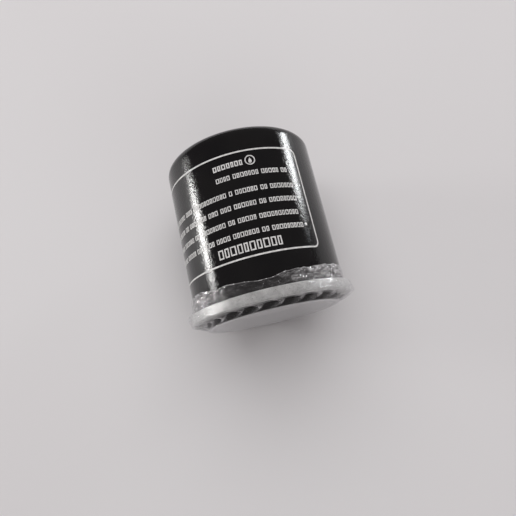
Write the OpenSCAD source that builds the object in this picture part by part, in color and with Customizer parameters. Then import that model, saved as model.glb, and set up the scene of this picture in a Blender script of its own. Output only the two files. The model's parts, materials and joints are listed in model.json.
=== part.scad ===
// Spin-on oil filter for a small engine, in its transit film.
// Every sub-part is drawn upright: local Z runs along the filter's axis, from the closed end of the
// can at 0 towards the threaded end. place() then lays it down, so that in the part's own frame the
// threaded end faces -Y and the origin is the centre of the gasket's sealing face.

/* [Can] */
// Outside diameter of the painted can
can_diameter = 52; // [50:0.5:56]
// Thickness of the can's sheet steel
can_wall = 0.5; // [0.4:0.05:0.6]
// Outside radius of the rounded edge at the closed end
can_edge_radius = 3.6; // [3:0.1:5]
// Height of the can's double seam above the closed end
seam_height = 57.4; // [56:0.2:60]
// Depth of the pressed panel in the closed end
panel_depth = 0.8; // [0.5:0.1:1.2]

/* [Thread end] */
// Pitch of the central thread
thread_pitch = 1.5; // [1.5]
// Nominal diameter of the central thread
thread_diameter = 20; // [20]
// Number of oil inlet holes
inlet_count = 8; // [6:1:8]
// Diameter of each oil inlet hole
inlet_diameter = 4.6; // [4:0.2:4.6]
// How far the gasket stands out of the seam
gasket_proud = 2; // [1.5:0.1:2.4]

/* [Filter element] */
// Number of pleats in the paper
pleat_count = 36; // [30:1:36]
// Outside diameter of the perforated centre tube
tube_diameter = 26; // [26:0.2:26.2]
// Rows of holes along the centre tube
tube_hole_rows = 6; // [4:1:6]
// Holes in each row
tube_holes_per_row = 8; // [6:1:8]

/* [Transit film] */
// Thickness of the shrink film
film_thickness = 0.15; // [0.12:0.01:0.2]
// How far the film's skirt reaches past the seam along the can
film_skirt = 5.2; // [4:0.2:8]

/* [Hidden] */
$fn = 96;
eps = 0.01;

can_r = can_diameter / 2;
seam_layer = can_wall;
seam_clear = 0.02;
seam_hook = 2.2;
sealant_thickness = 0.1;
seam_r = can_r + 3 * seam_layer;
flange_z = seam_height - seam_layer - sealant_thickness;
seam_foot_z = seam_height - 2.8;

plate_thickness = 3;
plate_outer_z = seam_height - 3.4;
plate_inner_z = plate_outer_z - plate_thickness;
plate_r = can_r - 1.4;
collar_r = 12;
collar_foot_z = plate_inner_z - 5;
inlet_circle_r = 15.2;
inlet_r = inlet_diameter / 2;
thread_major_r = thread_diameter / 2;
thread_minor_r = thread_major_r - 0.54127 * thread_pitch;
thread_chamfer = 0.8;
thread_crest = thread_pitch / 4;
thread_root = thread_pitch / 8;
thread_flank = (thread_pitch - thread_crest - thread_root) / 2;

groove_inner_r = 18.5;
groove_outer_r = 22.7;
groove_floor_z = plate_outer_z + seam_layer;
groove_lip = 1.5;
gasket_clear = 0.1;
seal_z = seam_height + gasket_proud;
gasket_edge = 0.4;

cap_sheet = 0.4;
cap_rim = 2.5;
cap_r = 22.4;
lower_cap_z = collar_foot_z - 0.1;
upper_cap_z = 8;
potting_thickness = 0.9;
tube_r = tube_diameter / 2;
tube_wall = 0.4;
tube_hole_r = 1.6;
media_outer_r = 21.7;
media_inner_r = 13.3;
paper = 0.6;

valve_port_r = 4.6;
seal_thickness = 0.8;
seal_r = 6.2;
poppet_r = 6.5;
poppet_thickness = 0.8;
rivet_r = 1.8;
rivet_head_r = 2.8;
rivet_head = 0.4;
stem_r = 1.5;
stem_length = 9.5;
stem_chamfer = 0.4;
cage_r = 9.2;
cage_base_r = 10.8;
cage_sheet = 0.6;
cage_height = 8.2;
cage_leg_width = 3.2;
guide_clear = 0.05;

film_clear = 0.05;
film_z = seal_z + film_clear;
film_disc_r = 22.9;
film_fold = 1.4;
film_fit = 0.1;

// Lays an upright sub-part down with its threaded end towards -Y.
module place() {
    rotate([90, 0, 0]) translate([0, 0, -seal_z]) children();
}

// Points of a circular arc, from one angle to another.
function arc(centre, r, from, to, steps = 8) = [
    for (i = [0 : steps])
        let (a = from + (to - from) * i / steps)
        centre + r * [cos(a), sin(a)]
];

// A ring with a rectangular section.
module ring(inner_r, outer_r, low, high) {
    rotate_extrude() translate([inner_r, low]) square([outer_r - inner_r, high - low]);
}

// Round wire swept along a helix, as t runs from 0 to count turns. flat is how many turns lie flat
// at each end.
function helix_share(t, count, flat) = min(1, max(0, (t - flat) / (count - 2 * flat)));
function helix_point(t, count, flat, r0, r1, z0, z1, wire_r, a) =
    let (
        s = helix_share(t, count, flat),
        r = r0 + (r1 - r0) * s + wire_r * cos(a),
        z = z0 + (z1 - z0) * s + wire_r * sin(a)
    )
    [r * cos(360 * t), r * sin(360 * t), z];

module coil(r0, r1, z0, z1, wire_r, count, flat, steps_per_turn = 36, sides = 10) {
    rings = round(count * steps_per_turn);
    points = [
        for (i = [0 : rings], j = [0 : sides - 1])
            helix_point(i * count / rings, count, flat, r0, r1, z0, z1, wire_r, 360 * j / sides)
    ];
    walls = [
        for (i = [0 : rings - 1], j = [0 : sides - 1])
            let (k = (j + 1) % sides)
            [i * sides + j, i * sides + k, (i + 1) * sides + k, (i + 1) * sides + j]
    ];
    start_cap = [[for (j = [sides - 1 : -1 : 0]) j]];
    end_cap = [[for (j = [0 : sides - 1]) rings * sides + j]];
    polyhedron(points, concat(walls, start_cap, end_cap), convexity = 6);
}

// Deep-drawn can: pressed panel, rounded edge, wall, and the hook that the seam holds.
module can_shell() {
    edge_in = can_edge_radius - can_wall;
    edge_centre = [can_r - can_edge_radius, can_edge_radius];
    panel_r = 14.5;
    panel_step = 2;
    outer_path = concat(
        [[0, panel_depth], [panel_r, panel_depth], [panel_r + panel_step, 0]],
        arc(edge_centre, can_edge_radius, -90, 0, 12)
    );
    inner_path = concat(
        arc(edge_centre, edge_in, 0, -90, 12),
        [
            [panel_r + panel_step + 0.2, can_wall],
            [panel_r + 0.2, panel_depth + can_wall],
            [0, panel_depth + can_wall]
        ]
    );
    hook = [
        [can_r, flange_z - seam_layer],
        [can_r + seam_layer, flange_z - seam_layer],
        [can_r + seam_layer, flange_z - seam_hook + 0.6],
        [can_r + 2 * seam_layer - seam_clear, flange_z - seam_hook + 0.6],
        [can_r + 2 * seam_layer - seam_clear, flange_z - 0.2],
        [can_r + 2 * seam_layer - 0.2, flange_z],
        [can_r - can_wall, flange_z]
    ];
    color([0.05, 0.05, 0.05]) rotate_extrude() polygon(concat(outer_path, hook, inner_path));
}

// Galvanised ring that is rolled round the can's hook and holds the gasket in its groove.
module seaming_lid() {
    leg_out = can_r + seam_layer - seam_clear;
    leg_in = can_r + seam_clear;
    skin_in = can_r + 2 * seam_layer;
    foot_in_z = seam_foot_z + seam_layer;
    corner = 0.45;
    profile = concat(
        [
            [leg_in, foot_in_z + 1.0],
            [leg_in, seam_foot_z + 0.1],
            [leg_in + 0.1, seam_foot_z]
        ],
        arc([seam_r - corner, seam_foot_z + corner], corner, -90, 0),
        arc([seam_r - corner, seam_height - corner], corner, 0, 90),
        [
            [groove_outer_r + seam_layer - 0.2, seam_height],
            [groove_outer_r, seam_height - 0.3],
            [groove_outer_r, groove_floor_z],
            [groove_inner_r, groove_floor_z],
            [groove_inner_r, groove_floor_z + groove_lip],
            [groove_inner_r - seam_layer, groove_floor_z + groove_lip],
            [groove_inner_r - seam_layer, plate_outer_z],
            [groove_outer_r + seam_layer, plate_outer_z],
            [groove_outer_r + seam_layer, seam_height - seam_layer],
            [skin_in, seam_height - seam_layer],
            [skin_in, foot_in_z],
            [leg_out, foot_in_z],
            [leg_out, foot_in_z + 1.0]
        ]
    );
    color([0.72, 0.73, 0.72]) rotate_extrude() polygon(profile);
}

// Lining compound between the can's flange and the lid.
module seam_sealant() {
    color([0.35, 0.45, 0.35])
        ring(can_r - can_wall, can_r + 2 * seam_layer - 0.2, flange_z, flange_z + sealant_thickness);
}

// Half-section of the threaded bore, from below the collar to above the plate, with its chamfers.
function thread_section(low, high) =
    let (
        turns = floor((high - low - 2 * thread_chamfer - thread_crest) / thread_pitch),
        start = (low + high - turns * thread_pitch - thread_crest) / 2
    )
    concat(
        [
            [0, low - 1],
            [thread_minor_r + thread_chamfer + 1, low - 1],
            [thread_minor_r, low + thread_chamfer],
            [thread_minor_r, start + thread_crest]
        ],
        [
            for (i = [0 : turns - 1])
                let (z = start + thread_crest + i * thread_pitch)
                for (p = [
                    [thread_major_r, z + thread_flank],
                    [thread_major_r, z + thread_flank + thread_root],
                    [thread_minor_r, z + 2 * thread_flank + thread_root],
                    [thread_minor_r, z + thread_pitch]
                ]) p
        ],
        [
            [thread_minor_r, high - thread_chamfer],
            [thread_minor_r + thread_chamfer + 1, high + 1],
            [0, high + 1]
        ]
    );

// Thick steel plate with the threaded collar and the ring of oil inlets.
module tapping_plate() {
    color([0.60, 0.60, 0.58]) difference() {
        union() {
            ring(0, plate_r, plate_inner_z, plate_outer_z);
            ring(0, collar_r, collar_foot_z, plate_inner_z + eps);
        }
        rotate_extrude() polygon(thread_section(collar_foot_z, plate_outer_z));
        for (i = [0 : inlet_count - 1])
            rotate([0, 0, 360 * i / inlet_count])
                translate([inlet_circle_r, 0, plate_inner_z - 1])
                    cylinder(r = inlet_r, h = plate_thickness + 2);
    }
}

// Rubber gasket with eased edges, which seals against the engine.
module sealing_gasket() {
    inner_r = groove_inner_r + gasket_clear;
    outer_r = groove_outer_r - gasket_clear;
    profile = [
        [inner_r, groove_floor_z],
        [outer_r, groove_floor_z],
        [outer_r, seal_z - gasket_edge],
        [outer_r - gasket_edge, seal_z],
        [inner_r + gasket_edge, seal_z],
        [inner_r, seal_z - gasket_edge]
    ];
    color([0.07, 0.07, 0.07]) rotate_extrude() polygon(profile);
}

// Rubber check valve: a sleeve clamped round the collar, and a skirt whose lip covers the inlets.
module drainback_valve() {
    sleeve_in = collar_r + guide_clear;
    sleeve_out = 12.85;
    sleeve_low = lower_cap_z + cap_sheet;
    skirt_low = sleeve_low + 0.5;
    lip_out = 19.4;
    lip_in = 18.5;
    profile = [
        [sleeve_in, sleeve_low],
        [sleeve_out + 0.2, sleeve_low],
        [sleeve_out + 0.6, skirt_low],
        [lip_out, plate_inner_z - 0.9],
        [lip_out, plate_inner_z],
        [lip_in, plate_inner_z],
        [lip_in - 0.3, plate_inner_z - 0.5],
        [sleeve_out, skirt_low + 1.1],
        [sleeve_out, plate_inner_z],
        [sleeve_in, plate_inner_z]
    ];
    color([0.10, 0.10, 0.10]) rotate_extrude() polygon(profile);
}

// Stamped end cap: a flat ring with a rim that holds the paper and its potting.
// side is 1 when the rim points towards the thread, and -1 when it points away.
module end_cap(hole_r, face_z, side) {
    rim_low = side > 0 ? face_z + cap_sheet - eps : face_z - cap_rim;
    color([0.68, 0.66, 0.55]) union() {
        ring(hole_r, cap_r, face_z, face_z + cap_sheet);
        ring(cap_r - cap_sheet, cap_r, rim_low, rim_low + cap_rim + eps);
    }
}

module lower_end_cap() {
    end_cap(collar_r + 0.3, lower_cap_z, -1);
}

module upper_end_cap() {
    end_cap(valve_port_r, upper_cap_z, 1);
}

// Adhesive ring that seals the paper's end into its cap.
module potting(low) {
    color([0.55, 0.20, 0.12]) ring(tube_r, cap_r - cap_sheet, low, low + potting_thickness);
}

module lower_potting() {
    potting(lower_cap_z - potting_thickness);
}

module upper_potting() {
    potting(upper_cap_z + cap_sheet);
}

media_low = upper_cap_z + cap_sheet + potting_thickness;
media_high = lower_cap_z - potting_thickness;

// Outline of one side of the folded paper. Each width is half a fold's width, in millimetres.
function pleat_outline(tip_r, tip_half, root_r, root_half) =
    let (
        pitch = 360 / pleat_count,
        tip_angle = tip_half / tip_r * 180 / PI,
        root_angle = root_half / root_r * 180 / PI
    )
    [
        for (i = [0 : pleat_count - 1])
            for (p = [
                [tip_r, -tip_angle],
                [tip_r, tip_angle],
                [root_r, pitch / 2 - root_angle],
                [root_r, pitch / 2 + root_angle]
            ])
                p[0] * [cos(i * pitch + p[1]), sin(i * pitch + p[1])]
    ];

// Pleated filter paper, one closed band.
module pleated_media() {
    tip_half = 0.75;
    root_half = 0.2;
    wall = 0.5;
    color([0.80, 0.66, 0.40]) translate([0, 0, media_low]) linear_extrude(media_high - media_low)
        difference() {
            polygon(pleat_outline(media_outer_r, tip_half, media_inner_r + paper, root_half));
            polygon(pleat_outline(
                media_outer_r - paper, tip_half - wall, media_inner_r, root_half + wall
            ));
        }
}

// Folded metal strip that joins the first and last pleats.
module media_clip() {
    inside = 0.9;
    sheet = 0.22;
    leg_r = 19.7;
    low = upper_cap_z + cap_sheet + cap_rim + 0.3;
    high = lower_cap_z - cap_rim - 0.3;
    color([0.70, 0.70, 0.68]) translate([leg_r, 0, low]) linear_extrude(high - low)
        difference() {
            translate([0, -inside - sheet])
                square([cap_r - cap_sheet - leg_r, 2 * (inside + sheet)]);
            translate([-1, -inside])
                square([media_outer_r + 0.05 - leg_r + 1, 2 * inside]);
        }
}

// Perforated steel tube that the paper leans on.
module centre_tube() {
    low = upper_cap_z + cap_sheet;
    length = lower_cap_z - low;
    row_pitch = length / tube_hole_rows;
    color([0.70, 0.71, 0.72]) difference() {
        ring(tube_r - tube_wall, tube_r, low, low + length);
        for (row = [0 : tube_hole_rows - 1], i = [0 : tube_holes_per_row - 1])
            translate([0, 0, low + (row + 0.5) * row_pitch])
                rotate([0, 90, (i + (row % 2) / 2) * 360 / tube_holes_per_row])
                    translate([0, 0, tube_r - 2])
                        cylinder(r = tube_hole_r, h = 4, $fn = 32);
    }
}

valve_z = upper_cap_z + cap_sheet;
poppet_z = valve_z + seal_thickness;
spring_z = poppet_z + poppet_thickness;

// Bypass valve's moving disc, with its guide stem and the rivet head that holds its washer.
module bypass_poppet() {
    profile = [
        [0, valve_z - rivet_head],
        [rivet_head_r, valve_z - rivet_head],
        [rivet_head_r, valve_z],
        [rivet_r, valve_z],
        [rivet_r, poppet_z],
        [poppet_r, poppet_z],
        [poppet_r, spring_z],
        [stem_r, spring_z],
        [stem_r, spring_z + stem_length - stem_chamfer],
        [stem_r - stem_chamfer, spring_z + stem_length],
        [0, spring_z + stem_length]
    ];
    color([0.74, 0.74, 0.72]) rotate_extrude() polygon(profile);
}

// Rubber washer on the disc, which closes the port in the end cap.
module bypass_seal() {
    color([0.08, 0.08, 0.08]) ring(rivet_r, seal_r, valve_z, poppet_z);
}

// Spring that holds the bypass valve shut.
module bypass_spring() {
    wire_r = 0.4;
    cage_roof_z = valve_z + cage_height - cage_sheet;
    color([0.78, 0.78, 0.80])
        coil(4, 4, spring_z + wire_r, cage_roof_z - wire_r, wire_r, 5, 0.7, 24, 8);
}

// Three-legged bridge that guides the stem and carries the spring.
module bypass_cage() {
    roof_z = valve_z + cage_height - cage_sheet;
    color([0.66, 0.66, 0.62]) difference() {
        union() {
            ring(cage_r - cage_sheet, cage_base_r, valve_z, valve_z + cage_sheet);
            ring(0, cage_r, roof_z, roof_z + cage_sheet);
            for (i = [0 : 2])
                intersection() {
                    ring(cage_r - cage_sheet, cage_r, valve_z, roof_z + cage_sheet);
                    rotate([0, 0, 120 * i])
                        translate([0, -cage_leg_width / 2, valve_z])
                            cube([cage_r + 1, cage_leg_width, cage_height]);
                }
        }
        translate([0, 0, roof_z - 1]) cylinder(r = stem_r + guide_clear, h = cage_sheet + 2);
    }
}

// Conical spring that presses the element against the tapping plate.
module element_spring() {
    wire_r = 0.8;
    color([0.72, 0.72, 0.74])
        coil(18.2, 11.6, can_wall + wire_r, upper_cap_z - wire_r, wire_r, 3, 0.5);
}

// Shrink film round the threaded end: a skirt that clears the seam, and a shoulder drawn in over
// the gasket, with its edge folded on to the end disc.
module film_sleeve() {
    skirt_z = seam_foot_z - film_skirt;
    skirt_r = seam_r + film_fit;
    shoulder_z = seam_height + film_fit;
    neck_r = film_disc_r + film_fit;
    fold_z = film_z + film_thickness + film_clear;
    profile = [
        [skirt_r, skirt_z],
        [skirt_r + film_thickness, skirt_z],
        [skirt_r + film_thickness, shoulder_z - 0.2],
        [skirt_r - 0.1, shoulder_z + film_thickness],
        [neck_r + film_thickness, film_z - 0.1],
        [neck_r, fold_z + film_thickness],
        [neck_r - film_fold, fold_z + film_thickness],
        [neck_r - film_fold, fold_z],
        [neck_r - film_thickness, fold_z],
        [neck_r, film_z - 0.2],
        [skirt_r - 0.3, shoulder_z],
        [skirt_r, shoulder_z - 0.3]
    ];
    color([0.85, 0.88, 0.90, 0.4]) rotate_extrude() polygon(profile);
}

// Flat film disc across the gasket.
module film_disc() {
    color([0.85, 0.88, 0.90, 0.4])
        ring(0, film_disc_r, film_z, film_z + film_thickness);
}

place() {
    can_shell();
    seaming_lid();
    seam_sealant();
    tapping_plate();
    sealing_gasket();
    drainback_valve();
    lower_end_cap();
    lower_potting();
    pleated_media();
    media_clip();
    centre_tube();
    upper_potting();
    upper_end_cap();
    bypass_poppet();
    bypass_seal();
    bypass_spring();
    bypass_cage();
    element_spring();
    film_sleeve();
    film_disc();
}
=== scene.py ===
"""A small spin-on oil filter in its clear transit film, lying on its side on white paper.

Every piece is drawn in the filter's own axial terms: a is the distance along the axis from the
closed end of the can, r is the radius, and theta is the angle round the axis from +Z towards +X.
Millimetres are used for a and r, and mesh_from() turns them into metres in the frame.
"""
import json
import math

import bmesh
import bpy
import numpy as np
from mathutils import Matrix, Vector, noise


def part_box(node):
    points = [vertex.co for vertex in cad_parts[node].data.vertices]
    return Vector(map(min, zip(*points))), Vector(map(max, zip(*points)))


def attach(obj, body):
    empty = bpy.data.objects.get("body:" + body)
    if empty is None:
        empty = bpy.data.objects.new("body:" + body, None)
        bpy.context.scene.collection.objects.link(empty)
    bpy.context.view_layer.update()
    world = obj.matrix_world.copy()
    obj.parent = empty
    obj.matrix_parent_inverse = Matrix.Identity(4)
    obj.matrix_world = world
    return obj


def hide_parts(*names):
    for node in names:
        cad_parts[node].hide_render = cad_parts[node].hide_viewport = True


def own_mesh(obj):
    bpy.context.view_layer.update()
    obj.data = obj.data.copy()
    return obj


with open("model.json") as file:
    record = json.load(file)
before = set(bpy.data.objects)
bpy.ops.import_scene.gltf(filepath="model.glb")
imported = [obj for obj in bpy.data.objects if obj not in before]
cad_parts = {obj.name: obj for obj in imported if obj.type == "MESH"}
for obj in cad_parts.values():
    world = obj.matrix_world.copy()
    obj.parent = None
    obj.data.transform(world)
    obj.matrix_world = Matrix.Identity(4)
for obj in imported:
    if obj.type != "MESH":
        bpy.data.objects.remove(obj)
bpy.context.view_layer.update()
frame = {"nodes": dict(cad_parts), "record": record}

MM = 0.001
NODES = frame["nodes"]
Y_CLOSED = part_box("can_shell")[1].y / MM
FINE = 360
# name of the film's point attribute: how crumpled it is, which also places its painted white highlights
CRUMPLE_AND_GLINT = "crumple_and_glint"


def radius(node):
    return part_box(node)[1].x / MM


def reach(node):
    """The lowest and highest a of a CAD node."""
    low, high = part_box(node)
    return Y_CLOSED - high.y / MM, Y_CLOSED - low.y / MM


# ---------------------------------------------------------------- meshes

def polar(r, theta, a):
    """Points in millimetres in the frame, from arrays of radius, angle in radians and a."""
    r, theta, a = np.broadcast_arrays(r, theta, a)
    return np.stack([r * np.sin(theta), Y_CLOSED - a, r * np.cos(theta)], -1)


def mesh_from(name, verts_mm, faces, crease=35):
    mesh = bpy.data.meshes.new(name)
    mesh.from_pydata((np.asarray(verts_mm) * MM).tolist(), [], faces)
    cleaner = bmesh.new()
    cleaner.from_mesh(mesh)
    bmesh.ops.remove_doubles(cleaner, verts=cleaner.verts, dist=1e-7)
    bmesh.ops.dissolve_degenerate(cleaner, edges=cleaner.edges, dist=1e-8)
    bmesh.ops.recalc_face_normals(cleaner, faces=cleaner.faces)
    cleaner.to_mesh(mesh)
    cleaner.free()
    mesh.polygons.foreach_set("use_smooth", [True] * len(mesh.polygons))
    mesh.set_sharp_from_angle(angle=math.radians(crease))
    piece = bpy.data.objects.new(name, mesh)
    bpy.context.scene.collection.objects.link(piece)
    return piece


def grid_faces(rows, columns, close_rows, close_columns, first=0):
    """Quads between the points of a grid, numbered row by row from first."""
    ids = first + np.arange(rows * columns).reshape(rows, columns)
    here = ids if close_rows else ids[:-1]
    above = np.roll(ids, -1, 0) if close_rows else ids[1:]
    if close_columns:
        quads = (here, np.roll(here, -1, 1), np.roll(above, -1, 1), above)
    else:
        quads = (here[:, :-1], here[:, 1:], above[:, 1:], above[:, :-1])
    return np.stack(quads, -1).reshape(-1, 4).tolist()


def round_piece(name, outline, steps, crease=35):
    """A turned piece from its half-section, a list of (r, a) round a closed loop or from axis to axis."""
    outline = np.array(outline, float)
    on_axis = outline[0, 0] == 0 and outline[-1, 0] == 0
    theta = np.linspace(0, 2 * math.pi, steps, endpoint=False)
    points = polar(outline[:, :1], theta[None], outline[:, 1:])
    faces = grid_faces(len(outline), steps, not on_axis, True)
    return mesh_from(name, points.reshape(-1, 3), faces, crease)


def joined(name, shapes, crease=50):
    """One piece from several (points, faces) that meet at shared points or stand apart."""
    verts, faces, count = [], [], 0
    for points, polygons in shapes:
        verts.append(points)
        faces += [[count + i for i in polygon] for polygon in polygons]
        count += len(points)
    return mesh_from(name, np.concatenate(verts), faces, crease)


def bend(corner_r, corner_a, size, start, end, steps=6):
    """Points of an arc of the section, about a centre, from one angle to another in degrees."""
    angles = np.radians(np.linspace(start, end, steps + 1))
    return [(corner_r + size * math.cos(t), corner_a + size * math.sin(t)) for t in angles]


def swept(name, path, wire_r, sides=14, crease=60):
    """Round wire along a list of points in millimetres, with its ends closed."""
    path = np.array(path, float)
    along = np.gradient(path, axis=0)
    along /= np.linalg.norm(along, axis=1, keepdims=True)
    side = np.cross(along, np.array([0.0, 1.0, 0.0]))
    side /= np.linalg.norm(side, axis=1, keepdims=True)
    up = np.cross(side, along)
    turn = np.linspace(0, 2 * math.pi, sides, endpoint=False)
    ring = wire_r * (np.cos(turn)[None, :, None] * side[:, None] + np.sin(turn)[None, :, None] * up[:, None])
    points = (path[:, None] + ring).reshape(-1, 3)
    faces = grid_faces(len(path), sides, False, True)
    last = (len(path) - 1) * sides
    faces += [list(range(sides - 1, -1, -1)), list(range(last, last + sides))]
    return mesh_from(name, points, faces, crease)


def noisy(points_mm, size_mm, seed, kind="smooth"):
    """Noise between about -1 and 1 at each point, with features of about size_mm."""
    shift = Vector((seed * 17.3, seed * 5.1, seed * 9.7))
    flat = points_mm.reshape(-1, 3) / size_mm
    if kind == "ridged":
        values = [1 - 2 * abs(noise.noise(Vector(p) + shift)) for p in flat]
    elif kind == "creased":
        values = [1 + noise.noise(Vector(p) + shift, noise_basis="VORONOI_F2F1") for p in flat]
    else:
        values = [noise.noise(Vector(p) + shift) for p in flat]
    return np.array(values).reshape(points_mm.shape[:-1])


# ------------------------------------------------------------- materials

def new_material(name):
    """A new material, its node tree and its Principled shader."""
    made = bpy.data.materials.new(name)
    made.use_nodes = True
    tree = made.node_tree
    shader = tree.nodes["Principled BSDF"]
    return made, tree, shader


def add(tree, kind, inputs=None, **settings):
    node = tree.nodes.new(kind)
    for key, value in settings.items():
        setattr(node, key, value)
    for key, value in (inputs or {}).items():
        if isinstance(value, bpy.types.NodeSocket):
            tree.links.new(value, node.inputs[key])
        else:
            node.inputs[key].default_value = value
    return node


def maths(tree, operation, *values, clamp=False):
    """A maths node's result; each value is a number or another node's output."""
    inputs = dict(enumerate(values))
    return add(tree, "ShaderNodeMath", inputs, operation=operation, use_clamp=clamp).outputs[0]


def noise_of(tree, per_mm, detail=3, rough=0.5, stretch=(1, 1, 1)):
    """A noise texture's value, per_mm features to a millimetre, in the piece's own coordinates."""
    place = add(tree, "ShaderNodeTexCoord").outputs["Object"]
    mapped = add(tree, "ShaderNodeMapping", {"Vector": place, "Scale": stretch}).outputs[0]
    inputs = {"Vector": mapped, "Scale": per_mm / MM, "Detail": detail, "Roughness": rough}
    return add(tree, "ShaderNodeTexNoise", inputs).outputs["Fac"]


def ramp(tree, value, low, high, out_low=0.0, out_high=1.0):
    inputs = {"Value": value, "From Min": low, "From Max": high, "To Min": out_low, "To Max": out_high}
    return add(tree, "ShaderNodeMapRange", inputs).outputs[0]


def blend_colours(tree, share, one, two):
    mix = add(tree, "ShaderNodeMix", data_type="RGBA")
    tree.links.new(share, mix.inputs[0])
    mix.inputs[6].default_value = (*one, 1)
    mix.inputs[7].default_value = (*two, 1)
    return mix.outputs[2]


def bump(tree, height, distance_mm, strength=1.0, under=None):
    inputs = {"Height": height, "Distance": distance_mm * MM, "Strength": strength}
    if under is not None:
        inputs["Normal"] = under
    return add(tree, "ShaderNodeBump", inputs).outputs[0]


def surface(name, one, two, rough, metallic=0.0, patch=0.3, grain=4.0, relief_mm=0.01, stretch=(1, 1, 1)):
    """A plain procedural finish: two colours in patches, uneven roughness and a fine grain."""
    made, tree, shader = new_material(name)
    patches = ramp(tree, noise_of(tree, patch, 4), 0.35, 0.65)
    fine = noise_of(tree, grain, 4, 0.6, stretch)
    tree.links.new(blend_colours(tree, patches, one, two), shader.inputs["Base Color"])
    tree.links.new(ramp(tree, fine, 0.3, 0.7, rough[0], rough[1]), shader.inputs["Roughness"])
    tree.links.new(bump(tree, fine, relief_mm), shader.inputs["Normal"])
    shader.inputs["Metallic"].default_value = metallic
    return made


def black_paint():
    """Gloss black stoved enamel: a slight orange peel, dust in the paint and faint handling marks."""
    made, tree, shader = new_material("gloss_black_paint")
    cloud = ramp(tree, noise_of(tree, 0.08, 3), 0.35, 0.65)
    tree.links.new(blend_colours(tree, cloud, (0.0025, 0.0025, 0.003), (0.005, 0.005, 0.005)),
                   shader.inputs["Base Color"])
    marks = ramp(tree, noise_of(tree, 1.1, 5, 0.65, (1, 0.15, 1)), 0.58, 0.72)
    haze = ramp(tree, noise_of(tree, 0.22, 4), 0.3, 0.7, 0.035, 0.07)
    tree.links.new(maths(tree, "MULTIPLY_ADD", marks, 0.1, haze), shader.inputs["Roughness"])
    peel = bump(tree, noise_of(tree, 1.5, 1, 0.5), 0.048, 1.0)
    dust = bump(tree, noise_of(tree, 3.6, 2, 0.6), 0.022, 1.0, peel)
    tree.links.new(dust, shader.inputs["Normal"])
    shader.inputs["IOR"].default_value = 1.5
    return made


def print_ink():
    return surface("white_print", (0.52, 0.52, 0.51), (0.72, 0.72, 0.71), (0.3, 0.5), 0, 0.9, 9, 0.004)


def galvanised():
    """Bare galvanised sheet: soft crystal patches, drawing marks round the seam and light handling."""
    made, tree, shader = new_material("galvanised_steel")
    place = add(tree, "ShaderNodeTexCoord").outputs["Object"]
    cells = add(tree, "ShaderNodeTexVoronoi", {"Vector": place, "Scale": 0.9 / MM}).outputs["Color"]
    lines = noise_of(tree, 0.5, 5, 0.7, (1, 14, 1))
    worn = ramp(tree, noise_of(tree, 0.45, 6, 0.7), 0.35, 0.65)
    tint = maths(tree, "MULTIPLY_ADD", cells, 0.35, worn, clamp=True)
    tree.links.new(blend_colours(tree, tint, (0.47, 0.475, 0.47), (0.72, 0.73, 0.72)),
                   shader.inputs["Base Color"])
    tree.links.new(ramp(tree, lines, 0.3, 0.7, 0.36, 0.6), shader.inputs["Roughness"])
    dents = bump(tree, noise_of(tree, 0.8, 3), 0.12, 0.6)
    tree.links.new(bump(tree, lines, 0.02, 0.8, dents), shader.inputs["Normal"])
    shader.inputs["Metallic"].default_value = 0.55
    return made


def rubber(name, tone, rough):
    made, tree, shader = new_material(name)
    bloom = ramp(tree, noise_of(tree, 0.35, 5, 0.6), 0.42, 0.7)
    pale = tuple(min(1, 2.4 * c + 0.006) for c in tone)
    tree.links.new(blend_colours(tree, bloom, tone, pale), shader.inputs["Base Color"])
    fine = noise_of(tree, 7.0, 3)
    tree.links.new(ramp(tree, fine, 0.3, 0.7, rough[0], rough[1]), shader.inputs["Roughness"])
    tree.links.new(bump(tree, fine, 0.012, 0.6), shader.inputs["Normal"])
    shader.inputs["Sheen Weight"].default_value = 0.15
    return made


def filter_paper():
    """Resin-cured cellulose: fine fibres and warm blotches."""
    made, tree, shader = new_material("filter_paper")
    blotch = ramp(tree, noise_of(tree, 0.5, 6, 0.6), 0.35, 0.68)
    tree.links.new(blend_colours(tree, blotch, (0.66, 0.50, 0.27), (0.82, 0.69, 0.45)),
                   shader.inputs["Base Color"])
    fibres = noise_of(tree, 9.0, 6, 0.75, (1, 0.25, 1))
    tree.links.new(ramp(tree, fibres, 0.3, 0.7, 0.75, 0.95), shader.inputs["Roughness"])
    tree.links.new(bump(tree, fibres, 0.05, 0.8), shader.inputs["Normal"])
    shader.inputs["Sheen Weight"].default_value = 0.25
    return made


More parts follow.
